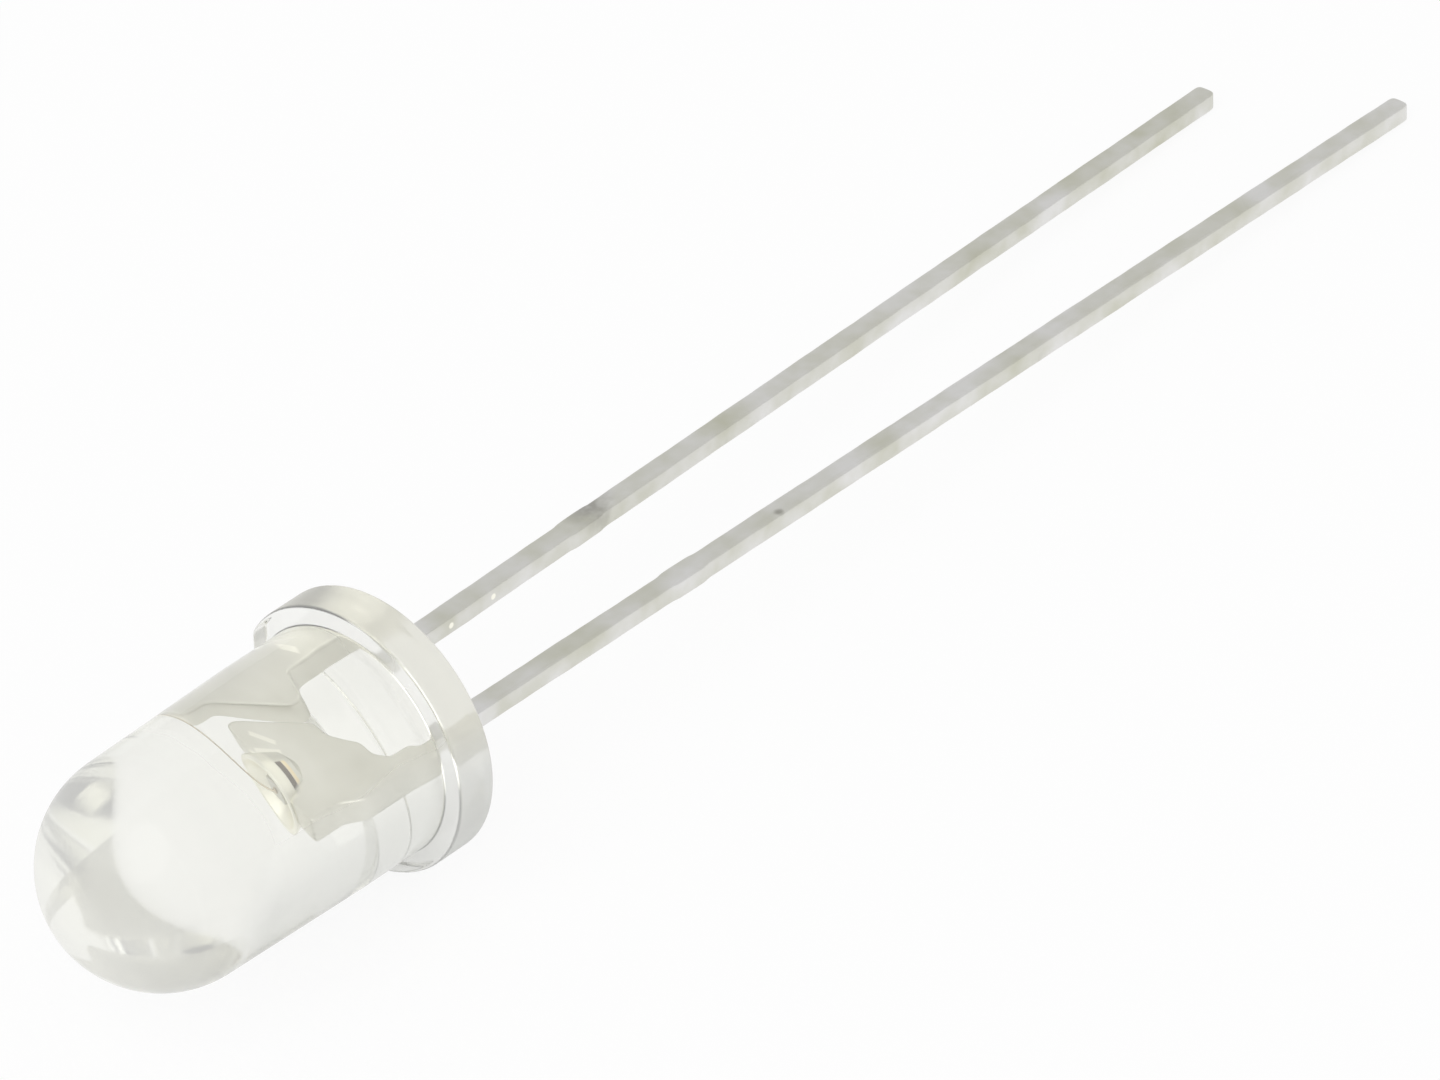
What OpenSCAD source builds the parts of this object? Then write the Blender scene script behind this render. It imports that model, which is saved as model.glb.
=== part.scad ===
// Through hole lamp with a clear round lens, two flat leads and a die in a reflector cup. Millimetres.
// Each piece is drawn upright, with the lens axis along +Z and its base at Z = 0, and then laid down
// as it rests on a table: on the rim of its flange and on the tips of both leads.

/* [Lens] */
// Height of the cast body, from its base to the top of the dome
body_h = 8.6; // [6:0.1:14]
// Diameter of the straight stretch of the barrel, next to the flange
barrel_d = 5; // [4.6:0.05:5.4]
// Length of the straight stretch
barrel_land = 1.6; // [1:0.1:3]
// Diameter of the dome, where the drafted stretch of the barrel ends
dome_d = 4.84; // [4.4:0.02:5]
// Diameter of the flange
flange_d = 5.84; // [5.5:0.02:6.4]
// Thickness of the flange
flange_t = 0.95; // [0.7:0.05:1.6]
// Distance from the axis to the flat that marks the cathode
flat_r = 2.53; // [2.52:0.01:2.7]
// Bevel of the flange's two edges
flange_bevel = 0.07; // [0.02:0.01:0.12]
// Depth of the shallow dish that the casting leaves in the base
base_dish = 0.08; // [0.04:0.01:0.15]
// Edge of the dish, as a share of the distance to the flat
dish_share = 0.92; // [0.85:0.01:0.96]

/* [Leads] */
// Distance between the leads where they leave the base
lead_pitch = 2.54; // [2.3:0.02:2.8]
// Width of a lead, across the sheet
lead_w = 0.46; // [0.4:0.01:0.55]
// Thickness of the lead frame's sheet
sheet_t = 0.4; // [0.3:0.01:0.5]
// Length of the cathode lead below the base
cathode_len = 27.6; // [12:0.2:32]
// Length of the anode lead below the base
anode_len = 29.8; // [12:0.2:34]
// Angle by which the cathode lead spreads outward
cathode_splay = 1.2; // [0:0.1:2]
// Angle by which the anode lead spreads outward
anode_splay = 0.75; // [0:0.05:2]
// Bevel of the lead tips
tip_bevel = 0.05; // [0.02:0.01:0.12]
// Distance from the base to the stubs of the cut tie bar
tie_z = 7.2; // [5:0.1:9]
// Height of the stubs
tie_h = 0.9; // [0.5:0.05:1.2]
// Reach of the stubs beyond the side of the lead
tie_out = 0.03; // [0.01:0.01:0.08]

/* [Anvil and post] */
// Height of the cup's rim above the base
cup_z = 3.8; // [3.6:0.05:4.2]
// Diameter of the round head that holds the cup
head_d = 1.12; // [1.04:0.02:1.2]
// Height of the straight side of the head
head_h = 0.48; // [0.42:0.02:0.6]
// Diameter of the cup at its rim
cup_d = 0.92; // [0.84:0.02:0.98]
// Diameter of the cup's floor
cup_floor_d = 0.56; // [0.54:0.02:0.64]
// Depth of the cup
cup_depth = 0.28; // [0.24:0.01:0.32]
// Drop from the rim of the cup to the plate's top beside it
plate_drop = 0.05; // [0.03:0.01:0.1]
// Distance from the axis to the anvil's outer side, beside the cup
shoulder_x = 1.12; // [1:0.02:1.3]
// Distance from the axis to the anvil's outer side, below its shoulder
flank_x = 1.42; // [1.35:0.01:1.5]
// Height where the flank ends and turns in to the shoulder
flank_z = 2.5; // [2.2:0.1:2.7]
// Height where the shoulder's side starts
shoulder_z = 3; // [2.8:0.1:3.3]
// Height of the leads' roots, where the plates start to widen
root_z = 0.7; // [0.6:0.05:0.9]
// Height over which the outer sides widen, above the roots
flare_h = 0.65; // [0.4:0.05:1]
// Distance from the axis to the inner side of the anvil's root
heel_x = 0.87; // [0.8:0.01:1]
// Height where the anvil starts to widen toward the axis
heel_z = 1.35; // [1.2:0.05:1.45]
// Height of the anvil's lower edge
belly_z = 1.62; // [1.5:0.02:1.75]
// Distance from the axis to the point where the lower edge starts to rise
belly_x = 0.3; // [0.1:0.05:0.4]
// Width of the slanting gap between anvil and post
frame_gap = 0.3; // [0.26:0.01:0.36]
// Height of the gap's lower end
gap_z = 2.04; // [1.95:0.01:2.2]
// Height where the gap turns upright
gap_turn_z = 3.2; // [3:0.05:3.25]
// Top of the anvil's ear, beside the gap
ear_z = 3.42; // [3.35:0.01:3.5]
// Rise of the ear toward the head
ear_rise = 0.16; // [0.1:0.02:0.2]
// Top of the post
post_z = 3.74; // [3.6:0.02:3.9]
// Width of the post's top
post_w = 0.4; // [0.36:0.02:0.5]
// Distance from the axis to the inner side of the post
post_x = 1.25; // [1.2:0.01:1.3]
// Distance from the axis to the tip of the post's toe
toe_x = 0.7; // [0.66:0.01:0.8]
// Lower corner of the toe's tip
toe_z = 1.78; // [1.7:0.02:1.9]
// Height where the toe starts on the side of the lead
instep_z = 1.5; // [1.3:0.05:1.6]

/* [Die and bond] */
// Side of the square die
die_w = 0.3; // [0.22:0.01:0.32]
// Height of the die
die_h = 0.14; // [0.1:0.01:0.16]
// Diameter of the dab that fixes the die
dab_d = 0.5; // [0.48:0.01:0.52]
// Thickness of the dab
dab_t = 0.03; // [0.02:0.005:0.04]
// Diameter of the bond wire
wire_d = 0.03; // [0.025:0.005:0.04]
// Height of the wire's loop above the straight line between its ends
loop_rise = 0.14; // [0.12:0.01:0.3]
// Power that brings the loop's high point nearer the die
loop_lean = 1.6; // [1:0.1:2]
// Diameter of the ball on the die and of the stitch on the post
ball_d = 0.09; // [0.08:0.005:0.12]
// Height of the ball
ball_h = 0.04; // [0.03:0.005:0.06]

/* [Hidden] */
$fn = 96;
eps = 0.01;
cast_color = [0.93, 0.94, 0.9, 0.3];
plate_color = [0.75, 0.75, 0.72];
die_color = [0.35, 0.38, 0.42];
dab_color = [0.82, 0.82, 0.8];
gold_color = [0.85, 0.65, 0.25];

barrel_r = barrel_d / 2;
dome_r = dome_d / 2;
flange_r = flange_d / 2;
dome_z = body_h - dome_r;
land_z = flange_t + barrel_land;
// A sphere that passes through the dish's edge and its deepest point
dish_edge = dish_share * flat_r;
dish_r = (dish_edge * dish_edge + base_dish * base_dish) / (2 * base_dish);

root_x = lead_pitch / 2;
half_w = lead_w / 2;
head_r = head_d / 2;
head_low = cup_z - head_h;
// The head's underside tapers to the sheet
cone_h = head_r - sheet_t / 2;
neck_z = head_low - cone_h;
head_wall = (head_d - cup_d) / 2;
plate_top = cup_z - plate_drop;
ear_top = ear_z + ear_rise;
// The gap's width measured level, where it slants
gap_level = frame_gap * norm([post_x - toe_x, gap_turn_z - gap_z]) / (gap_turn_z - gap_z);
floor_z = cup_z - cup_depth;
die_z = floor_z + dab_t;
pad_z = die_z + die_h;
stitch_x = -post_x - post_w / 2;
wire_low = pad_z + ball_h / 2;
wire_high = post_z + wire_d / 2;

// A point of a splayed lead: how far out of its middle line, and how far below the base
function on_lead(side, splay, out, down) = [
    side * (root_x + out * cos(splay) + down * sin(splay)),
    out * sin(splay) - down * cos(splay)
];

// The corner of each lead's tip that meets the table, with the sheet's lower face
cathode_tip = on_lead(-1, cathode_splay, half_w - tip_bevel, cathode_len);
anode_tip = on_lead(1, anode_splay, tip_bevel - half_w, anode_len);
// The table's normal is (slant * c, b, c), and touches both tips and the flange's rim
slant = (cathode_tip[1] - anode_tip[1]) / (anode_tip[0] - cathode_tip[0]);
function up_b(c) = sqrt(1 - c * c * (1 + slant * slant));
function up_c(c, n) = n == 0 ? c
    : up_c(-(flange_r * sqrt(1 - c * c) - up_b(c) * sheet_t / 2)
        / (slant * cathode_tip[0] + cathode_tip[1]), n - 1);
c = up_c(0.1, 12);
b = up_b(c);
a = slant * c;
s = sqrt(a * a + b * b);
flat_half = sqrt(flange_r * flange_r - flat_r * flat_r);
// The far corner of the anode lead's tip, along the table
far_tip = on_lead(1, anode_splay, half_w - tip_bevel, anode_len);
end_x = (a * c * far_tip[0] + b * c * sheet_t / 2 - (1 - c * c) * far_tip[1]) / s;
start_x = -dome_z * s - dome_r;
side_high = (b * flat_r + a * flat_half) / s;
side_low = -flange_r;

// Turns a piece from its upright place to its rest on the table
module lay_down() {
    translate([-(start_x + end_x) / 2, -(side_high + side_low) / 2, flange_r * s])
        multmatrix([
            [a * c / s, b * c / s, -s, 0],
            [-b / s, a / s, 0, 0],
            [a, b, c, 0]
        ])
            children();
}

// The cast body without its hollow: flange, barrel and dome in one profile
module lens_solid() {
    difference() {
        union() {
            rotate_extrude()
                polygon([
                    [0, 0],
                    [flange_r - flange_bevel, 0],
                    [flange_r, flange_bevel],
                    [flange_r, flange_t - flange_bevel],
                    [flange_r - flange_bevel, flange_t],
                    [barrel_r, flange_t],
                    [barrel_r, land_z],
                    [dome_r, dome_z],
                    [0, dome_z]
                ]);
            translate([0, 0, dome_z])
                sphere(r = dome_r);
        }
        translate([-flat_r - flange_r, -flange_r, -eps])
            cube([flange_r, flange_d, flange_t + 2 * eps]);
        translate([0, 0, base_dish - dish_r])
            sphere(r = dish_r);
    }
}

// The lens is cast around the stamped pieces, the die and its dab
module epoxy_upright() {
    difference() {
        lens_solid();
        cathode_upright();
        anode_upright();
        die_upright();
        dab_upright();
    }
}

// Points of one lead from its root's outer corner round the tip to the inner one, with the tie bar's stubs
function lead_points(side, splay, length) = let (
    tie_low = tie_z + tie_h / 2,
    tie_high = tie_z - tie_h / 2,
    outer = half_w + tie_out
) concat(
    [[side * (root_x + half_w), root_z]],
    [for (q = [
        [half_w, 0], [half_w, tie_high], [outer, tie_high], [outer, tie_low], [half_w, tie_low],
        [half_w, length - tip_bevel], [half_w - tip_bevel, length],
        [tip_bevel - half_w, length], [-half_w, length - tip_bevel],
        [-half_w, tie_low], [-outer, tie_low], [-outer, tie_high], [-half_w, tie_high], [-half_w, 0]
    ]) on_lead(side, splay, q[0], q[1])],
    [[side * (root_x - half_w), root_z]]
);

// Gives an outline in X and Z the thickness of the sheet
module stamped() {
    translate([0, sheet_t / 2, 0])
        rotate([90, 0, 0])
            linear_extrude(sheet_t)
                children();
}

// Cathode: one stamping of lead and post, whose inner edge follows the slanting gap down to its toe
module cathode_upright() {
    stamped()
        polygon(concat(
            lead_points(-1, cathode_splay, cathode_len),
            [
                [half_w - root_x, instep_z],
                [-toe_x, toe_z],
                [-toe_x, gap_z],
                [-post_x, gap_turn_z],
                [-post_x, post_z],
                [-post_x - post_w, post_z],
                [-post_x - post_w, root_z + flare_h]
            ]
        ));
}

// Anode: one stamping of lead and anvil, with the coined head and its cup on the axis
module anode_upright() {
    difference() {
        union() {
            stamped()
                polygon(concat(
                    lead_points(1, anode_splay, anode_len),
                    [
                        [heel_x, root_z + root_x - half_w - heel_x],
                        [heel_x, heel_z],
                        [heel_x - belly_z + heel_z, belly_z],
                        [belly_x, belly_z],
                        [belly_x - gap_z + belly_z, gap_z],
                        [gap_level - toe_x, gap_z],
                        [frame_gap - post_x, gap_turn_z],
                        [frame_gap - post_x, ear_z],
                        [head_wall - head_r, ear_top],
                        [head_r - head_wall, ear_top],
                        [head_r - head_wall, plate_top],
                        [shoulder_x, plate_top],
                        [shoulder_x, shoulder_z],
                        [flank_x, flank_z],
                        [flank_x, root_z + flare_h]
                    ]
                ));
            translate([0, 0, neck_z])
                cylinder(h = cone_h + eps, r1 = sheet_t / 2, r2 = head_r);
            translate([0, 0, head_low])
                cylinder(h = head_h, r = head_r);
        }
        translate([0, 0, floor_z])
            cylinder(h = 2 * cup_depth, r1 = cup_floor_d / 2, r2 = cup_d - cup_floor_d / 2);
    }
}

module die_upright() {
    translate([-die_w / 2, -die_w / 2, die_z])
        cube([die_w, die_w, die_h]);
}

module dab_upright() {
    translate([0, 0, floor_z])
        cylinder(h = dab_t, d = dab_d);
}

// The wire leaves the ball upright, bends over and comes down to the top of the post
sides = 8;
steps = 28;
function loop(t) = [
    stitch_x * pow(t, loop_lean),
    0,
    wire_low + (wire_high - wire_low) * t + loop_rise * sin(180 * t)
];
function across(t) = let (d = loop(min(1, t + eps)) - loop(max(0, t - eps))) [-d[2], 0, d[0]] / norm(d);

module wire_upright() {
    ring = [for (i = [0:steps]) for (k = [0:sides - 1])
        loop(i / steps) + wire_d / 2
            * (cos(360 * k / sides) * across(i / steps) + sin(360 * k / sides) * [0, 1, 0])];
    polyhedron(
        points = ring,
        faces = concat(
            [[for (k = [0:sides - 1]) k]],
            [[for (k = [sides - 1:-1:0]) steps * sides + k]],
            [for (i = [0:steps - 1]) for (k = [0:sides - 1])
                let (n = (k + 1) % sides)
                    [i * sides + k, (i + 1) * sides + k, (i + 1) * sides + n, i * sides + n]]
        )
    );
    translate([0, 0, pad_z])
        cylinder(h = ball_h, d = ball_d, $fn = 24);
    translate([stitch_x, 0, post_z])
        cylinder(h = wire_d / 2, d = ball_d, $fn = 24);
}

module epoxy_body() {
    color(cast_color)
        lay_down()
            epoxy_upright();
}

module cathode_lead() {
    color(plate_color)
        lay_down()
            cathode_upright();
}

module anode_lead() {
    color(plate_color)
        lay_down()
            anode_upright();
}

module die() {
    color(die_color)
        lay_down()
            die_upright();
}

module die_attach() {
    color(dab_color)
        lay_down()
            dab_upright();
}

module bond_wire() {
    color(gold_color)
        lay_down()
            wire_upright();
}

epoxy_body();
cathode_lead();
anode_lead();
die();
die_attach();
bond_wire();
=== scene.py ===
import math

import bpy
import numpy as np
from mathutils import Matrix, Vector


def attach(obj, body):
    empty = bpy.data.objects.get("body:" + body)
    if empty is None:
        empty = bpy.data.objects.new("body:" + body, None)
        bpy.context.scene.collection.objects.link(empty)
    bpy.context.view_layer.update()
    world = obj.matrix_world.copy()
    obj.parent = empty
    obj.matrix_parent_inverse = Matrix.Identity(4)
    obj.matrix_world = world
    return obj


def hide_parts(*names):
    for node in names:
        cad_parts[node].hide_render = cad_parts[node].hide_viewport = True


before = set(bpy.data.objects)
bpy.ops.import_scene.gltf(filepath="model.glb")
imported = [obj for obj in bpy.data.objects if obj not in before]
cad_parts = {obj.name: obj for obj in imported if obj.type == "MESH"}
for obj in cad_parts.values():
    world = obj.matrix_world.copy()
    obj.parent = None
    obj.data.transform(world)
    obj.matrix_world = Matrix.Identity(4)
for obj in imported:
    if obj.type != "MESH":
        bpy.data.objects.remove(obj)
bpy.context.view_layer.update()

print("stage: frame loaded")

# How the part lies on the table: each row is a table axis written in the upright part's axes, in which
# the lens axis is +Z and the leads' plane is Y = 0. place is where the middle of the base lands, in mm.
rest = {
    "xRow": (0.0055688, 0.0936546, -0.9955892),
    "yRow": (-0.9982369, 0.0593564, 0.0),
    "zRow": (0.0590946, 0.9938338, 0.0938200),
    "place": (-10.5599533, 0.1539622, 2.9071204),
}
restTurn = np.array([rest["xRow"], rest["yRow"], rest["zRow"]])
millimetre = 0.001


def layDown(points):
    # upright millimetres become table metres: turned by the three rows and moved to the place
    return (np.asarray(points, float).reshape(-1, 3) @ restTurn.T + np.array(rest["place"])) * millimetre


# Mesh building

def buildPiece(name, parts, material, nodes):
    # each part is (points, faces); they are laid one after the other in one mesh, with the faces' numbers shifted
    points = np.concatenate([layDown(p) for p, _ in parts])
    faces, start = [], 0
    for p, blocks in parts:
        for block in blocks:
            faces += (block + start).tolist()
        start += len(p)
    mesh = bpy.data.meshes.new(name)
    mesh.from_pydata(points.tolist(), [], faces)
    mesh.validate()
    mesh.polygons.foreach_set("use_smooth", np.ones(len(mesh.polygons), bool))
    mesh.update()
    mesh.materials.append(material)
    piece = bpy.data.objects.new(name, mesh)
    bpy.context.scene.collection.objects.link(piece)
    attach(piece, "root")
    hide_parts(*nodes)


def ringQuads(rings, sides, first=0):
    # the quad between ring i and i + 1 and side k and k + 1, the last side joined to the first
    i, k = np.meshgrid(np.arange(rings - 1), np.arange(sides), indexing="ij")
    n = (k + 1) % sides
    corners = [i * sides + k, i * sides + n, (i + 1) * sides + n, (i + 1) * sides + k]
    return np.stack(corners, -1).reshape(-1, 4) + first


def poledPart(low, grid, high):
    # rings of points joined by quads, and closed by a fan to a pole before the first and after the last ring
    rings, sides = grid.shape[:2]
    points = np.vstack([[low], grid.reshape(-1, 3), [high]])
    k = np.arange(sides)
    n = (k + 1) % sides
    last = 1 + (rings - 1) * sides
    lowFan = np.stack([np.zeros(sides, int), n + 1, k + 1], 1)
    highFan = np.stack([last + k, last + n, np.full(sides, len(points) - 1)], 1)
    return points, [lowFan, ringQuads(rings, sides, 1), highFan]


def turnAngles(sides):
    return np.arange(sides) * 2 * np.pi / sides


def turnedPart(profile, sides, radiusAt=None):
    # a profile of (radius, height) from pole to pole, turned round the axis: x = r cos a, y = r sin a
    inner = profile[1:-1]
    angle = turnAngles(sides)
    radius = np.repeat(inner[:, :1], sides, 1) if radiusAt is None else radiusAt(inner[:, 0], angle)
    height = np.repeat(inner[:, 1:2], sides, 1)
    grid = np.stack([radius * np.cos(angle), radius * np.sin(angle), height], -1)
    return poledPart([0, 0, profile[0, 1]], grid, [0, 0, profile[-1, 1]])


def carriedPart(path, radius, sides):
    # a round section carried along a path in the plane Y = 0, turned the way that keeps the faces outward
    along = np.gradient(path, axis=0)
    along /= np.linalg.norm(along, axis=1)[:, None]
    side = np.stack([-along[:, 2], np.zeros(len(path)), along[:, 0]], 1)
    angle = -turnAngles(sides)
    ring = side[:, None] * np.cos(angle)[None, :, None] + np.array([0, 1, 0]) * np.sin(angle)[None, :, None]
    return poledPart(path[0], path[:, None] + ring * radius, path[-1])


def arc(centre, radius, fromDeg, toDeg, count):
    # points round a centre, from one angle to the other
    a = np.radians(np.linspace(fromDeg, toDeg, count))
    return np.stack([centre[0] + radius * np.cos(a), centre[1] + radius * np.sin(a)], 1)


def line(start, end, count):
    # evenly spaced points from start to end, without the end
    return np.array(start) + (np.array(end) - np.array(start)) * np.arange(count)[:, None] / count


def resample(outline, step):
    # a closed outline cut into even steps along its length
    closed = np.vstack([outline, outline[:1]])
    length = np.concatenate([[0], np.cumsum(np.hypot(*np.diff(closed, axis=0).T))])
    at = np.linspace(0, length[-1], int(length[-1] / step) + 1)[:-1]
    return np.stack([np.interp(at, length, closed[:, 0]), np.interp(at, length, closed[:, 1])], 1)


def soften(outline, rounds):
    # each point moves to the mean of itself and its two neighbours, a few times, which rounds the corners
    for _ in range(rounds):
        outline = (outline + np.roll(outline, 1, 0) + np.roll(outline, -1, 0)) / 3
    return outline


def waves(rows, outline):
    # the sum of share * sin(perX * x + perZ * z + start) over the rows
    return sum(share * np.sin(perX * outline[:, 0] + perZ * outline[:, 1] + start)
        for share, perX, perZ, start in rows)


def stampedPart(outline, sheet):
    # a closed outline in X and Z given a thickness in Y: at the angle q of the rounded edge, the outline
    # stands edge * (1 - cos q) inside itself and the sheet's half thickness less edge * (1 - sin q) out
    edge, half = sheet["edge"], sheet["thick"] / 2
    tangent = np.roll(outline, -1, 0) - np.roll(outline, 1, 0)
    tangent /= np.linalg.norm(tangent, axis=1)[:, None]
    normal = np.stack([tangent[:, 1], -tangent[:, 0]], 1)
    x, z = outline.T
    if np.sum(x * np.roll(z, -1) - np.roll(x, -1) * z) < 0:
        outline, normal = outline[::-1], -normal[::-1]
    outline = outline + normal * (sheet["wobble"] * waves(sheet["wobbleWaves"], outline))[:, None]
    q = np.radians(np.linspace(0, 90, sheet["edgeSteps"]))
    inset = np.concatenate([edge * (1 - np.cos(q)), [edge * sheet["capInset"]]])
    out = np.concatenate([half - edge * (1 - np.sin(q)), [half]])
    inset = np.concatenate([inset[::-1], inset])
    out = np.concatenate([-out[::-1], out])
    rings = outline[None] - normal[None] * inset[:, None, None]
    lift = sheet["drift"] * waves(sheet["driftWaves"], outline)
    y = out[:, None] * (1 + lift[None] / sheet["thick"])
    points = np.stack([rings[:, :, 0], y, rings[:, :, 1]], -1).reshape(-1, 3)
    n = len(outline)
    front = np.arange(n)[None]
    back = (np.arange(n)[::-1] + (len(inset) - 1) * n)[None]
    return points, [ringQuads(len(inset), n)[:, ::-1], front, back]


# Shader building

class Socket:
    # one output of a node tree, on which Python's arithmetic adds Math nodes
    def __init__(self, tree, link):
        self.tree, self.link = tree, link

    def combine(self, operation, first, second):
        return node(self.tree, "ShaderNodeMath", {"operation": operation}, {0: first, 1: second})

    def __add__(self, other):
        return self.combine("ADD", self, other)

    def __radd__(self, other):
        return self.combine("ADD", other, self)

    def __sub__(self, other):
        return self.combine("SUBTRACT", self, other)

    def __rsub__(self, other):
        return self.combine("SUBTRACT", other, self)

    def __mul__(self, other):
        return self.combine("MULTIPLY", self, other)

    def __rmul__(self, other):
        return self.combine("MULTIPLY", other, self)


def node(tree, kind, settings, values, output=0):
    # adds a node, sets its settings first and then its sockets, and gives the chosen output
    made = tree.nodes.new(kind)
    for name, value in settings.items():
        setattr(made, name, value)
    for name, value in values.items():
        if isinstance(value, Socket):
            tree.links.new(value.link, made.inputs[name])
        else:
            made.inputs[name].default_value = value
    return Socket(tree, made.outputs[output])


def newMaterial(name):
    material = bpy.data.materials.new(name)
    material.use_nodes = True
    material.node_tree.nodes.clear()
    return material, material.node_tree


def closeTree(tree, kind, values):
    # the closing output node of a material or of the world
    made = tree.nodes.new(kind)
    for name, value in values.items():
        tree.links.new(value.link, made.inputs[name])


def tablePlace(tree):
    # the Object output of the coordinates, which is the table's metres because no piece is moved
    return node(tree, "ShaderNodeTexCoord", {}, {}, 3)


def noise(tree, place, scale, detail, roughness=0.55):
    return node(tree, "ShaderNodeTexNoise", {},
        {"Vector": place, "Scale": scale, "Detail": detail, "Roughness": roughness})


def clampedStep(tree, value, low, high):
    # 0 at low and before it, 1 at high and past it, whichever of the two is larger
    return node(tree, "ShaderNodeMapRange", {"clamp": True},
        {"Value": value, "From Min": low, "From Max": high, "To Min": 0.0, "To Max": 1.0})


def between(tree, value, low, high, soft):
    # 1 from low to high, fading to 0 over soft on both sides
    return clampedStep(tree, value, low - soft, low) * clampedStep(tree, value, high + soft, high)


def clouds(tree, place, look):
    # the parts of a noise above the first of two steps, full from the second on
    return clampedStep(tree, noise(tree, place, *look["noise"]), *look["steps"])


def near(tree, place, centre, far, close):
    # 1 round a point on the table, fading to 0 between two distances in metres
    reach = node(tree, "ShaderNodeVectorMath", {"operation": "DISTANCE"}, {0: place, 1: centre}, 1)
    return clampedStep(tree, reach, far, close)


def uprightPlace(tree, place, axis):
    # how far a point lies along one of the upright part's axes, in mm
    origin = tuple(millimetre * v for v in rest["place"])
    moved = node(tree, "ShaderNodeVectorMath", {"operation": "SUBTRACT"}, {0: place, 1: origin})
    along = tuple(float(v) for v in restTurn[:, axis])
    metres = node(tree, "ShaderNodeVectorMath", {"operation": "DOT_PRODUCT"}, {0: moved, 1: along}, 1)
    return (1 / millimetre) * metres


def mixColour(tree, factor, first, second):
    # the Mix node's colour sockets are 6 and 7, and its colour output is 2
    return node(tree, "ShaderNodeMix", {"data_type": "RGBA"}, {0: factor, 6: first, 7: second}, 2)


def bumpOf(tree, height, strength, depth):
    return node(tree, "ShaderNodeBump", {}, {"Strength": strength, "Distance": depth, "Height": height})


# The plating. Places on the table are in metres: a blot is its centre, where it ends and where it is full.
# Places at the head are in upright mm: a pair is where a fade begins and ends, and three numbers are a range and
# the width of its fade. cupSquare is a pair of squared radii. A glint is a painted highlight, given by
# its centre and direction in X and Z, and how far it reaches along and across.
plating = {
    "silver": (0.82, 0.81, 0.73, 1), "silverShade": (0.75, 0.74, 0.65, 1),
    "tin": (0.775, 0.77, 0.755, 1), "tinShade": (0.60, 0.60, 0.50, 1),
    "stain": (0.20, 0.19, 0.16, 1), "cream": (1.0, 0.985, 0.88, 1),
    "gold": (1.0, 0.86, 0.58, 1), "shadow": (0.13, 0.10, 0.07, 1),
    "roughness": 0.36, "patchRough": 0.1, "stainRough": 0.1,
    "tinFrom": (-0.0109, -0.0103),
    "patches": {"noise": (700.0, 3.0), "steps": (0.35, 0.7)},
    "stains": {"noise": (420.0, 4.0, 0.7), "steps": (0.66, 0.76)},
    "smudges": {"noise": (1600.0, 3.0), "steps": (0.4, 0.6)},
    "streakStretch": (60, 900, 900), "streakNoise": (6.0, 2.0), "grainNoise": (9000.0, 2.0),
    "stainShare": 0.3, "smudgeShare": 0.55,
    "streakHigh": 0.4, "grainHigh": 0.2, "patchHigh": 0.5, "bump": (0.2, 0.00002),
    "tieBar": ((-0.0029, 0.00175, 0.00245), 0.0008, 0.0002),
    "spot": ((-0.000676, -0.001351, 0.002267), 0.00013, 0.00005),
    # the two blots below are painted highlights, small cream specks on the cathode lead
    "highlightSpecks": (
        ((-0.006225, 0.001283, 0.002431), 0.00008, 0.00005),
        ((-0.007470, 0.001257, 0.002550), 0.00008, 0.00005),
    ),
    # the next line bounds a painted highlight in cream over the head's cup and rim
    "cupSquare": (0.34, 0.26), "cupLevel": (3.46, 3.54),
    "headSide": (0.05, 0.49, 0.03), "headFront": (0.2, 0.24),
    # the two ranges on the next line are the levels of a painted gold highlight line and of a painted shadow band
    "shadowBandLevels": (3.375, 3.485, 0.02), "goldGlintLevels": (3.28, 3.35, 0.02),
    "sheetFront": (0.17, 0.19),
    "glints": (
        ((-0.56, 3.11), (0.79, -0.61), 0.17, 0.03),
        ((-0.37, 3.26), (0.51, -0.86), 0.20, 0.03),
        ((-1.54, 1.17), (0.80, -0.60), 0.11, 0.05),
        ((-1.245, 0.92), (0.80, -0.60), 0.07, 0.06),
    ),
    "glintFades": (0.04, 0.025),
}


def glint(tree, side, level, centre, along, reach, wide):
    # 1 inside a soft stroke in the sheet's plane, which goes reach along it and wide across it to either side;
    # it masks a painted highlight
    endFade, sideFade = plating["glintFades"]
    far = (side - centre[0]) * along[0] + (level - centre[1]) * along[1]
    aside = (side - centre[0]) * along[1] - (level - centre[1]) * along[0]
    return between(tree, far, -reach, reach, endFade) * between(tree, aside, -wide, wide, sideFade)


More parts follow.
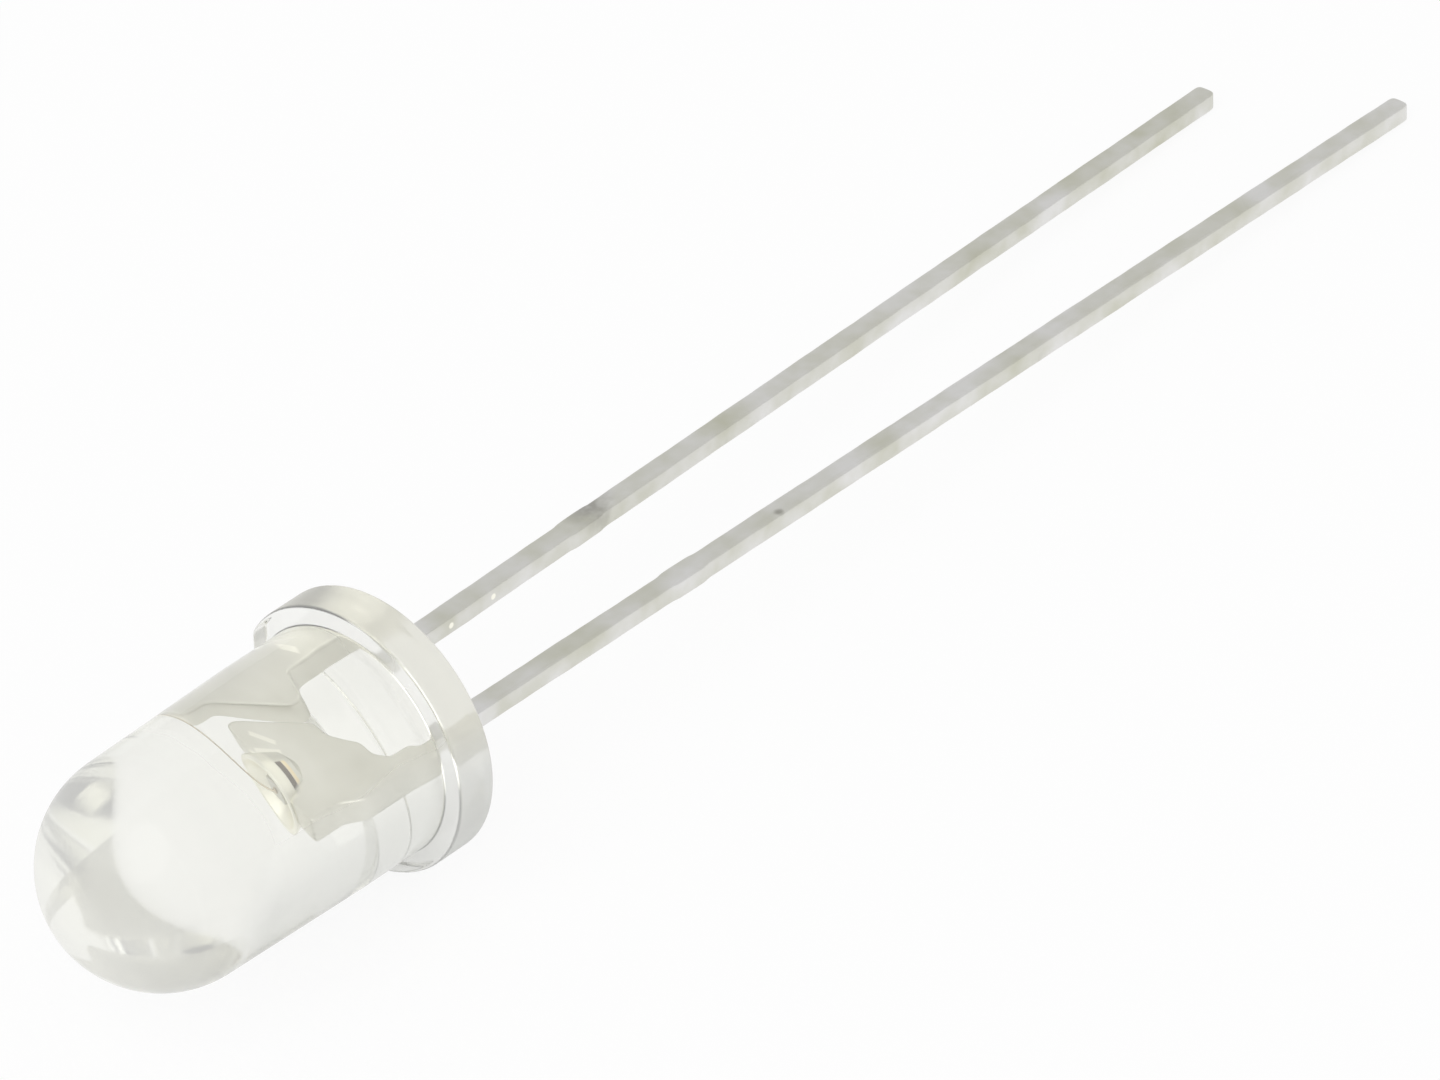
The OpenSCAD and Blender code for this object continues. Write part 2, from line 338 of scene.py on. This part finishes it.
def platingColour(tree, place, patch, outside, stained):
    # silver inside the resin and dull tin outside it, then the stains, then painted highlights: cream specks on a
    # lead, cream at the cup and on the sheet and a gold line at the head, and a painted shadow band at the head
    p = plating
    smudged = near(tree, place, *p["tieBar"]) * clouds(tree, place, p["smudges"]) + near(tree, place, *p["spot"])
    # painted highlights: two small cream specks on the cathode lead
    highlightSpeck = near(tree, place, *p["highlightSpecks"][0]) + near(tree, place, *p["highlightSpecks"][1])
    side, front, level = [uprightPlace(tree, place, axis) for axis in range(3)]
    square = side * side + front * front
    # painted highlight: cream over the cup and the rim at the head's top
    cupHighlight = clampedStep(tree, square, *p["cupSquare"]) * clampedStep(tree, level, *p["cupLevel"])
    atHead = between(tree, side, *p["headSide"]) * clampedStep(tree, front, *p["headFront"])
    # painted highlights: soft cream strokes on the sheet's front face
    strokes = [glint(tree, side, level, *stroke) for stroke in p["glints"]]
    glintHighlights = (strokes[0] + strokes[1] + strokes[2] + strokes[3]) * clampedStep(tree, front, *p["sheetFront"])
    silver = mixColour(tree, patch, p["silver"], p["silverShade"])
    tin = mixColour(tree, patch, p["tin"], p["tinShade"])
    colour = mixColour(tree, outside, silver, tin)
    for share, over in (
        (stained + p["smudgeShare"] * smudged, p["stain"]),
        (highlightSpeck, p["cream"]),
        (cupHighlight, p["cream"]),
        (glintHighlights, p["cream"]),
        # painted highlight: a gold line low on the head's side
        (between(tree, level, *p["goldGlintLevels"]) * atHead, p["gold"]),
        # painted shadow: a dark band across the head's side, above the gold line
        (between(tree, level, *p["shadowBandLevels"]) * atHead, p["shadow"]),
    ):
        colour = mixColour(tree, share, colour, over)
    return colour


def platingMaterial():
    # a rolled sheet's plating: soft cloudy patches, faint lines along the sheet and a fine grain
    material, tree = newMaterial("leadPlating")
    p = plating
    place = tablePlace(tree)
    outside = clampedStep(tree, node(tree, "ShaderNodeSeparateXYZ", {}, {"Vector": place}), *p["tinFrom"])
    patch = clouds(tree, place, p["patches"])
    stained = clouds(tree, place, p["stains"]) * outside * p["stainShare"]
    along = node(tree, "ShaderNodeMapping", {}, {"Vector": place, "Scale": p["streakStretch"]})
    streak = noise(tree, along, *p["streakNoise"])
    grain = noise(tree, place, *p["grainNoise"])
    colour = platingColour(tree, place, patch, outside, stained)
    rough = p["roughness"] + p["patchRough"] * patch + p["stainRough"] * stained
    height = streak * p["streakHigh"] + grain * p["grainHigh"] + patch * p["patchHigh"]
    surface = node(tree, "ShaderNodeBsdfPrincipled", {}, {"Base Color": colour, "Metallic": 1.0,
        "Roughness": rough, "Normal": bumpOf(tree, height, *p["bump"])})
    closeTree(tree, "ShaderNodeOutputMaterial", {"Surface": surface})
    return material


# The resin. A pair in upright mm is where a fade begins and ends.
epoxy = {
    "tint": (0.995, 0.995, 0.985, 1), "ior": 1.53,
    # the last colour on the next line is painted shade, a greyer haze for the barrel's lower flank
    "haze": (0.94, 0.94, 0.91, 1), "flangeHaze": (0.82, 0.81, 0.74, 1), "flankShadeColour": (0.78, 0.785, 0.76, 1),
    # the last share on the next line thickens that painted shade on the lower flank
    "hazeShare": 0.24, "domeMore": 0.36, "flangeMore": 0.36, "flankShadeShare": 0.28,
    "roughness": 0.02, "domeRough": 0.07, "flangeRough": 0.10,
    "absorbed": (0.80, 0.80, 0.56, 1), "density": 34.0,
    "cloudNoise": (380.0, 2.0), "cloudLeast": 0.7, "cloudMore": 0.6, "bump": (0.04, 0.00003),
    "domeLevels": (5.2, 7.2), "flangeLevels": (0.94, 0.88),
    "flankAside": (1.2, 2.6), "flankLevels": (6.8, 5.6),
}


def epoxyMaterial():
    # cast resin: sharp refraction, a faint warm tint through its depth, and a little haze on the outside of its
    # skin, which wanders a little and is thicker over the dome and the flange; a greyer, thicker haze on the
    # barrel's lower flank beside the longer lead is painted shade
    material, tree = newMaterial("clearEpoxy")
    e = epoxy
    place = tablePlace(tree)
    cloud = noise(tree, place, *e["cloudNoise"])
    outer = 1.0 - node(tree, "ShaderNodeNewGeometry", {}, {}, "Backfacing")
    side, front, level = [uprightPlace(tree, place, axis) for axis in range(3)]
    inDome = clampedStep(tree, level, *e["domeLevels"])
    inFlange = clampedStep(tree, level, *e["flangeLevels"])
    # painted shade: a greyer, thicker haze on the barrel's lower flank beside the longer lead
    shadedFlank = clampedStep(tree, side - front, *e["flankAside"]) * clampedStep(tree, level, *e["flankLevels"])
    rough = e["roughness"] + e["domeRough"] * inDome + e["flangeRough"] * inFlange
    clear = node(tree, "ShaderNodeBsdfPrincipled", {}, {"Base Color": e["tint"], "Roughness": rough,
        "IOR": e["ior"], "Transmission Weight": 1.0, "Normal": bumpOf(tree, cloud, *e["bump"])})
    shade = mixColour(tree, inFlange, e["haze"], e["flangeHaze"])
    shade = mixColour(tree, shadedFlank, shade, e["flankShadeColour"])
    milky = node(tree, "ShaderNodeBsdfPrincipled", {},
        {"Base Color": shade, "Roughness": 1.0, "Specular IOR Level": 0.0})
    more = e["domeMore"] * inDome + e["flangeMore"] * inFlange + e["flankShadeShare"] * shadedFlank
    share = (e["hazeShare"] + more) * (e["cloudLeast"] + e["cloudMore"] * cloud) * outer
    surface = node(tree, "ShaderNodeMixShader", {}, {0: share, 1: clear, 2: milky})
    volume = node(tree, "ShaderNodeVolumeAbsorption", {}, {"Color": e["absorbed"], "Density": e["density"]})
    closeTree(tree, "ShaderNodeOutputMaterial", {"Surface": surface, "Volume": volume})
    return material


# The small pieces' finishes: a slight change of shade and a fine grain, whose depth is in metres
grainLook = {"detail": 2.0, "darker": 0.8, "moreRough": 0.1, "strength": 0.3}
finishes = {
    "silverDab": {
        "colour": (0.72, 0.72, 0.70), "metallic": 0.8, "roughness": 0.45, "scale": 30000.0, "depth": 0.000004,
    },
    "dieCrystal": {
        "colour": (0.84, 0.83, 0.74), "metallic": 0.3, "roughness": 0.25, "scale": 20000.0, "depth": 0.000002,
    },
    "goldWire": {
        "colour": (0.72, 0.64, 0.50), "metallic": 1.0, "roughness": 0.2, "scale": 20000.0, "depth": 0.000001,
    },
}


def grainyMaterial(name):
    material, tree = newMaterial(name)
    f = finishes[name]
    grain = noise(tree, tablePlace(tree), f["scale"], grainLook["detail"])
    darker = tuple(c * grainLook["darker"] for c in f["colour"])
    surface = node(tree, "ShaderNodeBsdfPrincipled", {}, {
        "Base Color": mixColour(tree, grain, f["colour"] + (1,), darker + (1,)), "Metallic": f["metallic"],
        "Roughness": f["roughness"] + grainLook["moreRough"] * grain,
        "Normal": bumpOf(tree, grain, grainLook["strength"], f["depth"])})
    closeTree(tree, "ShaderNodeOutputMaterial", {"Surface": surface})
    return material


leadPlating = platingMaterial()
clearEpoxy = epoxyMaterial()
silverDab, dieCrystal, goldWire = [grainyMaterial(name) for name in finishes]
print("stage: materials made")

# The lens, all sizes in mm. join is the short step between an arc and the straight that follows it.
lens = {
    "height": 8.599, "barrelRadius": 2.5, "land": 1.6, "domeRadius": 2.414,
    "flangeRadius": 2.914, "flangeThick": 0.95, "edge": 0.07, "fillet": 0.05, "join": 0.02,
    "dish": 0.08, "dishShare": 0.92, "flatAt": 2.53, "flatSoft": 0.01, "leastFacing": 0.2,
    "baseSqueeze": 2.2, "squeezeTurn": 0.5, "sides": 384,
}


def lensProfile():
    # (radius, height) from the middle of the dished base, round the flange, up the barrel and over the dome
    s = lens
    barrel, flange, thick = s["barrelRadius"], s["flangeRadius"], s["flangeThick"]
    edge, fillet, join = s["edge"], s["fillet"], s["join"]
    landZ = thick + s["land"]
    domeZ = s["height"] - s["domeRadius"]
    dishEdge = s["dishShare"] * s["flatAt"]
    r = np.linspace(0, dishEdge, 30)
    base = np.stack([r, s["dish"] * (1 - (r / dishEdge) ** 2)], 1)
    return np.vstack([
        base[:-1],
        line((dishEdge, 0), (flange - edge, 0), 6),
        arc((flange - edge, edge), edge, -90, 0, 7),
        line((flange, edge + join), (flange, thick - edge - join), 10),
        arc((flange - edge, thick - edge), edge, 0, 90, 7),
        line((flange - edge - join, thick), (barrel + fillet + join, thick), 6),
        arc((barrel + fillet, thick + fillet), fillet, 270, 180, 6),
        line((barrel, thick + fillet + join), (barrel, landZ), 10),
        line((barrel, landZ), (s["domeRadius"], domeZ), 20),
        arc((0, domeZ), s["domeRadius"], 0, 90, 60),
    ])


def lensPart():
    # the turned profile, with the flange squeezed in at the flat, which is square to -X: past the radius begin,
    # radii are scaled so that the flange's own lands on the limit, which is the lesser of it and the flat,
    # softened by log(1 + e^x) where the two meet
    s = lens
    profile = lensProfile()
    facing = np.maximum(-np.cos(turnAngles(s["sides"])), s["leastFacing"])
    over = (s["flangeRadius"] - s["flatAt"] / facing) / s["flatSoft"]
    limit = s["flangeRadius"] - s["flatSoft"] * np.logaddexp(0, over)
    height = profile[1:-1, 1]
    inFlange = (np.arange(len(height)) < np.argmax(height > s["flangeThick"] + 1e-6))[:, None]
    begin = np.where(height > s["squeezeTurn"], s["barrelRadius"], s["baseSqueeze"])[:, None]

    def radiusAt(radius, turn):
        full = radius[:, None] * np.ones(len(turn))
        squeezed = begin + (full - begin) * (limit[None] - begin) / (s["flangeRadius"] - begin)
        return np.where(inFlange & (full > begin), squeezed, full)

    return turnedPart(profile, s["sides"], radiusAt)


buildPiece("lensBody", [lensPart()], clearEpoxy, ["epoxy_body"])
print("stage: lens built")

# The stamped leads, all sizes in mm. A row of waves is its share, its turn per mm in X and in Z, and its start.
leads = {
    "pitch": 2.54, "width": 0.46, "thick": 0.4,
    "cathodeLong": 27.6, "anodeLong": 29.8, "cathodeSplay": 1.2, "anodeSplay": 0.75,
    "tipBevel": 0.05, "tieZ": 7.2, "tieTall": 0.9, "tieOut": 0.03, "rootZ": 0.7,
    "edge": 0.045, "edgeSteps": 6, "capInset": 1.25, "step": 0.035, "softenRounds": 6,
    "wobble": 0.003, "wobbleWaves": ((1, 3, 2.1, 0), (0.7, 0, 5.3, 1.9), (0.5, -5, 9.7, 0)),
    "drift": 0.003, "driftWaves": ((1, 0, 1.3, 0.8), (0.6, 0, 3.7, 2.2)),
}
frameHead = {
    "cupZ": 3.8, "cupRadius": 0.46, "cupDeep": 0.28, "floorRadius": 0.28,
    "headRadius": 0.56, "headTall": 0.62, "headFoot": 0.36, "headSides": 96,
    "footRound": 0.045, "footSink": 0.015, "footLift": 0.03, "rimRound": 0.03, "rimIn": 0.04, "rimDrop": 0.05,
    "cupRound": 0.02, "wallIn": 0.01, "wallDrop": 0.03, "join": 0.02,
    "plateDrop": 0.05, "underIn": 0.06, "underDrop": 0.07,
    "shoulderX": 1.12, "shoulderZ": 3.0, "flankX": 1.42, "flankZ": 2.5, "flare": 0.65,
    "heelX": 0.87, "heelZ": 1.35, "bellyZ": 1.62, "bellyX": 0.3, "gap": 0.3, "gapZ": 2.04, "gapTurnZ": 3.2,
    "earZ": 3.42, "earRise": 0.16,
    "postZ": 3.74, "postWide": 0.4, "postX": 1.25, "toeX": 0.7, "toeZ": 1.78, "instepZ": 1.5,
}
headLow = frameHead["cupZ"] - frameHead["headTall"]
neckZ = headLow - frameHead["headFoot"] + leads["thick"] / 2
floorZ = frameHead["cupZ"] - frameHead["cupDeep"]
rootX = leads["pitch"] / 2
halfWide = leads["width"] / 2
stitchX = -frameHead["postX"] - frameHead["postWide"] / 2


def leadOutline(side, splay, length, top):
    # the lead's outer side down to the tip and back up its inner side, then the anvil's or post's corners
    t = math.radians(splay)
    low, high = leads["tieZ"] + leads["tieTall"] / 2, leads["tieZ"] - leads["tieTall"] / 2
    out, bevel = halfWide + leads["tieOut"], leads["tipBevel"]
    q = np.array([
        (halfWide, 0), (halfWide, high), (out, high), (out, low), (halfWide, low),
        (halfWide, length - bevel), (halfWide - bevel, length), (bevel - halfWide, length),
        (-halfWide, length - bevel), (-halfWide, low), (-out, low), (-out, high), (-halfWide, high), (-halfWide, 0),
    ])
    x = side * (rootX + q[:, 0] * math.cos(t) + q[:, 1] * math.sin(t))
    z = q[:, 0] * math.sin(t) - q[:, 1] * math.cos(t)
    return np.vstack([
        [[side * (rootX + halfWide), leads["rootZ"]]],
        np.stack([x, z], 1),
        [[side * (rootX - halfWide), leads["rootZ"]]],
        top,
    ])


def headProfile():
    # (radius, height) of the coined head: its neck, its tapered side, the rim, the cup's wall and floor
    s = frameHead
    r, foot, cup, top = s["headRadius"], s["headFoot"], s["cupRadius"], s["cupZ"]
    footRound, rimRound, cupRound, join = s["footRound"], s["rimRound"], s["cupRound"], s["join"]
    lift, drop = s["footLift"], s["rimDrop"]
    lean = (r - foot) / s["headTall"]
    return np.vstack([
        [[0, neckZ]],
        line((leads["thick"] / 2, neckZ), (foot - join, headLow - join), 6),
        arc((foot - footRound, headLow + s["footSink"]), footRound, -45, -15, 4),
        line((foot + lift * lean, headLow + lift), (r - drop * lean, top - drop), 16),
        arc((r - rimRound - s["rimIn"] * lean, top - rimRound), rimRound, 0, 90, 5),
        arc((cup + cupRound, top - cupRound), cupRound, 90, 160, 4),
        line((cup - s["wallIn"], top - s["wallDrop"]), (s["floorRadius"] + join, floorZ + join), 14),
        line((s["floorRadius"], floorZ), (0, floorZ), 8),
        [[0, floorZ]],
    ])


def postOutline():
    # from the lead's inner side over the toe, up the slanting gap and round the post's top
    s = frameHead
    outerX = -s["postX"] - s["postWide"]
    return [
        (halfWide - rootX, s["instepZ"]), (-s["toeX"], s["toeZ"]), (-s["toeX"], s["gapZ"]),
        (-s["postX"], s["gapTurnZ"]), (-s["postX"], s["postZ"]), (outerX, s["postZ"]),
        (outerX, leads["rootZ"] + s["flare"]),
    ]


def anvilOutline():
    # from the lead's inner side along the lower edge and up the gap to the ear, under the cup, and down the
    # outer side
    s = frameHead
    run = math.hypot(s["postX"] - s["toeX"], s["gapTurnZ"] - s["gapZ"]) / (s["gapTurnZ"] - s["gapZ"])
    inHead, underX, underZ = s["cupRadius"], s["cupRadius"] - s["underIn"], floorZ - s["underDrop"]
    plateZ = s["cupZ"] - s["plateDrop"]
    return [
        (s["heelX"], leads["rootZ"] + rootX - halfWide - s["heelX"]), (s["heelX"], s["heelZ"]),
        (s["heelX"] - s["bellyZ"] + s["heelZ"], s["bellyZ"]), (s["bellyX"], s["bellyZ"]),
        (s["bellyX"] - s["gapZ"] + s["bellyZ"], s["gapZ"]), (s["gap"] * run - s["toeX"], s["gapZ"]),
        (s["gap"] - s["postX"], s["gapTurnZ"]), (s["gap"] - s["postX"], s["earZ"]),
        (-inHead, s["earZ"] + s["earRise"]), (-underX, underZ), (underX, underZ), (inHead, plateZ),
        (s["shoulderX"], plateZ), (s["shoulderX"], s["shoulderZ"]), (s["flankX"], s["flankZ"]),
        (s["flankX"], leads["rootZ"] + s["flare"]),
    ]


def stamping(outline):
    # the outline in even steps, its corners softened, given the sheet's thickness and rounded edges
    return stampedPart(soften(resample(outline, leads["step"]), leads["softenRounds"]), leads)


cathodeOutline = leadOutline(-1, leads["cathodeSplay"], leads["cathodeLong"], postOutline())
anodeOutline = leadOutline(1, leads["anodeSplay"], leads["anodeLong"], anvilOutline())
cupHead = turnedPart(headProfile(), frameHead["headSides"])
buildPiece("cathodeStamping", [stamping(cathodeOutline)], leadPlating, ["cathode_lead"])
buildPiece("anodeStamping", [stamping(anodeOutline), cupHead], leadPlating, ["anode_lead"])
print("stage: leads built")

# The die, its dab and the bond wire, all sizes in mm
bond = {
    "dieWide": 0.3, "dieTall": 0.14, "dieBevel": 0.006, "dieJoin": 0.01, "dieStart": 0.03, "dieSquare": 12,
    "dabRadius": 0.25, "dabThick": 0.03, "dabStart": 0.08, "dabEnd": 0.06, "dabTopIn": 0.05,
    "rimMean": 0.93, "rimWaves": ((0.05, 3, 0.6), (0.02, 7, 0)), "sides": 64,
    "wireRadius": 0.015, "wireSides": 16, "loopRise": 0.14, "loopLean": 1.6, "loopSteps": 60,
    "ballRadius": 0.045, "ballTall": 0.04, "ballSteps": 9,
    "stitchRadius": 0.0435, "stitchTall": 0.015, "stitchSteps": 7, "endSides": 32,
}
dieZ = floorZ + bond["dabThick"]
padZ = dieZ + bond["dieTall"]


def dabPart():
    # a flat drop inside the cup's floor, whose rim wanders with the turn by the rows of share, turns and start
    s = bond
    topZ = floorZ + s["dabThick"]
    profile = np.vstack([
        [[0, floorZ]],
        line((s["dabStart"], floorZ), (s["dabRadius"], floorZ), 4),
        arc((s["dabRadius"] - s["dabThick"], floorZ), s["dabThick"], 0, 90, 6),
        line((s["dabRadius"] - s["dabTopIn"], topZ), (s["dabEnd"], topZ), 3),
        [[0, topZ]],
    ])

    def wandering(radius, turn):
        wave = sum(share * np.sin(turns * turn + start) for share, turns, start in s["rimWaves"])
        return radius[:, None] * (s["rimMean"] + wave)[None]

    return turnedPart(profile, s["sides"], wandering)


def diePart():
    # a square of rounded corners, |x|^12 + |y|^12 = const, carried up the die with bevelled top and bottom edges
    s = bond
    half, bevel, join, start = s["dieWide"] / 2, s["dieBevel"], s["dieJoin"], s["dieStart"]
    angle, power = turnAngles(s["sides"]), s["dieSquare"]
    reach = (np.abs(np.cos(angle)) ** power + np.abs(np.sin(angle)) ** power) ** (-1 / power)
    profile = np.vstack([
        [[0, dieZ]],
        line((start, dieZ), (half - bevel, dieZ), 4),
        arc((half - bevel, dieZ + bevel), bevel, -90, 0, 4),
        line((half, dieZ + join), (half, padZ - join), 5),
        arc((half - bevel, padZ - bevel), bevel, 0, 90, 4),
        line((half - join, padZ), (start, padZ), 5),
        [[0, padZ]],
    ])
    return turnedPart(profile, s["sides"], lambda radius, turn: radius[:, None] * reach[None])


def buttonPart(x, z, radius, tall, steps):
    # a flat button with a round edge, standing on the level z: the wire's ball and its stitch
    edge = arc((radius - tall / 2, z + tall / 2), tall / 2, -90, 90, steps)
    points, faces = turnedPart(np.vstack([[[0, z]], edge, [[0, z + tall]]]), bond["endSides"])
    return points + np.array([x, 0, 0]), faces


def wireParts():
    # x = end * t^lean, z = line between the ends plus rise * sin(180 t), and a ball and a stitch at the ends
    s = bond
    t = np.linspace(0, 1, s["loopSteps"])
    low, high = padZ + s["ballTall"] / 2, frameHead["postZ"] + s["wireRadius"]
    level = low + (high - low) * t + s["loopRise"] * np.sin(np.pi * t)
    path = np.stack([stitchX * t ** s["loopLean"], 0 * t, level], 1)
    return [
        carriedPart(path, s["wireRadius"], s["wireSides"]),
        buttonPart(0, padZ, s["ballRadius"], s["ballTall"], s["ballSteps"]),
        buttonPart(stitchX, frameHead["postZ"], s["stitchRadius"], s["stitchTall"], s["stitchSteps"]),
    ]


buildPiece("silverDab", [dabPart()], silverDab, ["die_attach"])
buildPiece("ledDie", [diePart()], dieCrystal, ["die"])
buildPiece("bondWire", wireParts(), goldWire, ["bond_wire"])
print("stage: die and wire built")

# The stage: floor, world, lamp and camera, in metres. Three levels are for the camera, mirrored and clear rays.
studio = {
    "floorSize": 1.2, "floorCells": 8, "floorDown": 0.00001,
    "floorColour": (0.95, 0.95, 0.95, 1), "floorGlow": (0.90, 0.95, 0.82),
    "worldLevel": 0.70, "worldSeen": (1.0, 0.76, 0.97),
    "keyPower": 1.1, "keySize": 0.6, "keyAt": (-0.34, -0.10, 0.46),
}
view = {
    "lens": 229.94, "sensor": 36.0, "clip": (0.01, 10),
    "at": (-0.10142, -0.09720, 0.12212),
    "turn": (49.022, 2.999, -48.531),
}


def seenBy(tree, camera, gloss, clear):
    # a level for what the camera, gloss and clear material see, and 0 for the light that falls on the part;
    # a ray that has gone through clear material counts as glossy too, so that gloss is for the other ones
    names = ("Is Camera Ray", "Is Glossy Ray", "Is Transmission Ray")
    isCamera, isGlossy, isClear = [node(tree, "ShaderNodeLightPath", {}, {}, name) for name in names]
    return isCamera * camera + isClear * clear + isGlossy * (1.0 - isClear) * gloss


def makeFloor():
    # a pale sheet: what the camera, gloss and clear material see of it is mostly its own white, so the shadow
    # stays faint
    half, cells = studio["floorSize"] / 2, studio["floorCells"]
    row = cells + 1
    u, v = np.meshgrid(np.linspace(-half, half, row), np.linspace(-half, half, row))
    points = np.stack([u, v, 0 * u - studio["floorDown"]], -1).reshape(-1, 3)
    i, k = np.meshgrid(np.arange(cells), np.arange(cells))
    quads = np.stack([i * row + k, i * row + k + 1, (i + 1) * row + k + 1, (i + 1) * row + k], -1).reshape(-1, 4)
    mesh = bpy.data.meshes.new("floor")
    mesh.from_pydata(points.tolist(), [], quads.tolist())
    floor = bpy.data.objects.new("floor", mesh)
    bpy.context.scene.collection.objects.link(floor)
    material, tree = newMaterial("floorPaper")
    paper = node(tree, "ShaderNodeBsdfDiffuse", {}, {"Color": studio["floorColour"]})
    glow = node(tree, "ShaderNodeEmission", {}, {"Color": (1, 1, 1, 1), "Strength": 1.0})
    seen = seenBy(tree, *studio["floorGlow"])
    surface = node(tree, "ShaderNodeMixShader", {}, {0: seen, 1: paper, 2: glow})
    closeTree(tree, "ShaderNodeOutputMaterial", {"Surface": surface})
    mesh.materials.append(material)


def makeWorld():
    world = bpy.data.worlds.new("paleRoom")
    bpy.context.scene.world = world
    world.use_nodes = True
    tree = world.node_tree
    tree.nodes.clear()
    light = studio["worldLevel"]
    level = light + seenBy(tree, *(seen - light for seen in studio["worldSeen"]))
    back = node(tree, "ShaderNodeBackground", {}, {"Color": (1, 1, 1, 1), "Strength": level})
    closeTree(tree, "ShaderNodeOutputWorld", {"Surface": back})


def makeLamp():
    # a large disk that faces the origin
    data = bpy.data.lights.new("keyLamp", "AREA")
    data.shape, data.size, data.energy = "DISK", studio["keySize"], studio["keyPower"]
    lamp = bpy.data.objects.new("keyLamp", data)
    lamp.location = studio["keyAt"]
    lamp.rotation_mode = "QUATERNION"
    lamp.rotation_quaternion = Vector(studio["keyAt"]).to_track_quat("Z", "Y")
    bpy.context.scene.collection.objects.link(lamp)


def makeCamera():
    data = bpy.data.cameras.new("camera")
    data.lens, data.sensor_width = view["lens"], view["sensor"]
    data.clip_start, data.clip_end = view["clip"]
    camera = bpy.data.objects.new("camera", data)
    camera.location = view["at"]
    camera.rotation_euler = [math.radians(a) for a in view["turn"]]
    bpy.context.scene.collection.objects.link(camera)
    bpy.context.scene.camera = camera


makeFloor()
makeWorld()
makeLamp()
makeCamera()
bpy.context.scene.view_settings.view_transform = "Standard"
print("stage: stage and camera made")
